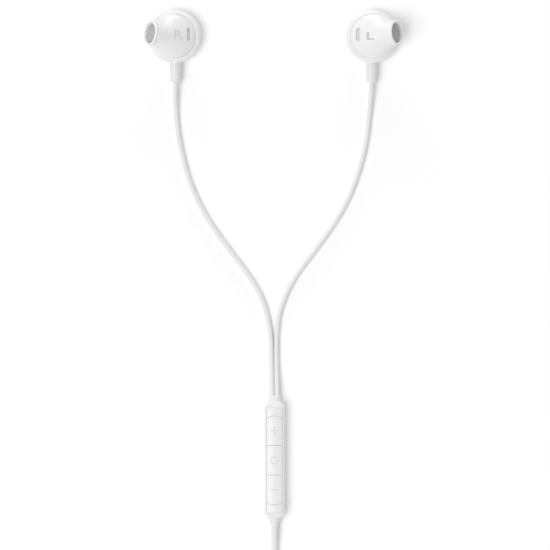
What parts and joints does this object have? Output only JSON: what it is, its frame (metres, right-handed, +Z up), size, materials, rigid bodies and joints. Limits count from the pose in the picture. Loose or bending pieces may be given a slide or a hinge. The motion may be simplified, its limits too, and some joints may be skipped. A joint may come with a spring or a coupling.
{
  "type": "wired earphones",
  "caption": "Half-in-ear wired earphones with round buds, angled mesh nozzles, a slim inline remote and a coiled cord that ends in a small audio plug.",
  "frame": {"origin": "on the surface that the set lies on, below the middle of its rigid pieces: half way between the tops of the buds and the lower end of the remote, and half way between the two buds", "axes": "+Z up, away from the surface; +Y along the set, from the remote towards the buds; +X across, from the right bud to the left bud"},
  "size_m": [0.083, 0.2307, 0.0124],
  "materials": {
    "shell": "satin",
    "soft": "matt",
    "mesh": "woven",
    "steel": "pressed",
    "magnet": "plated",
    "copper": "enamelled copper wire",
    "film": "thin film",
    "dark_plastic": "matt",
    "board": "lacquered",
    "gold": "gold plated"
  },
  "bodies": {
    "set": {"right_back_shell": "shell", "right_front_shell": "shell", "right_cable_boot": "soft", "right_nozzle_mesh": "mesh", "right_vent_screen": "mesh", "right_driver_frame": "dark_plastic", "right_driver_cover": "steel", "right_top_plate": "steel", "right_magnet": "magnet", "right_yoke": "steel", "right_terminal_board": "board", "left_back_shell": "shell", "left_front_shell": "shell", "left_cable_boot": "soft", "left_nozzle_mesh": "mesh", "left_vent_screen": "mesh", "left_driver_frame": "dark_plastic", "left_driver_cover": "steel", "left_top_plate": "steel", "left_magnet": "magnet", "left_yoke": "steel", "left_terminal_board": "board", "remote_tray": "shell", "remote_front_cover": "shell", "circuit_board": "board", "switch_volume_down": "steel", "switch_play_pause": "steel", "switch_volume_up": "steel", "microphone": "steel", "split_boot": "soft", "lower_boot": "soft", "cord_right": "soft", "cord_left": "soft", "cord_main": "soft", "cord_coil": "soft", "cord_tail": "soft", "cord_tie": "dark_plastic", "plug_boot": "soft", "plug_housing": "shell", "plug_sleeve": "gold", "plug_insulator_1": "dark_plastic", "plug_ring_2": "gold", "plug_insulator_2": "dark_plastic", "plug_ring_1": "gold", "plug_insulator_3": "dark_plastic", "plug_tip": "gold"},
    "volume_down_key": {"key_volume_down": "shell"},
    "play_pause_key": {"key_play_pause": "shell"},
    "volume_up_key": {"key_volume_up": "shell"},
    "right_diaphragm": {"right_diaphragm": "film", "right_voice_coil": "copper"},
    "left_diaphragm": {"left_diaphragm": "film", "left_voice_coil": "copper"}
  },
  "joints": [
    {"name": "volume_down_press", "type": "slide", "parent": "set", "child": "volume_down_key", "axis": [0, 0, -1], "range_m": [0, 0.00025], "stiffness_N_per_m": 500},
    {"name": "play_pause_press", "type": "slide", "parent": "set", "child": "play_pause_key", "axis": [0, 0, -1], "range_m": [0, 0.00025], "stiffness_N_per_m": 500},
    {"name": "volume_up_press", "type": "slide", "parent": "set", "child": "volume_up_key", "axis": [0, 0, -1], "range_m": [0, 0.00025], "stiffness_N_per_m": 500},
    {"name": "right_diaphragm_stroke", "type": "slide", "parent": "set", "child": "right_diaphragm", "axis": [0, 0, 1], "range_m": [-0.00015, 0.00015], "stiffness_N_per_m": 300},
    {"name": "left_diaphragm_stroke", "type": "slide", "parent": "set", "child": "left_diaphragm", "axis": [0, 0, 1], "range_m": [-0.00015, 0.00015], "stiffness_N_per_m": 300}
  ]
}
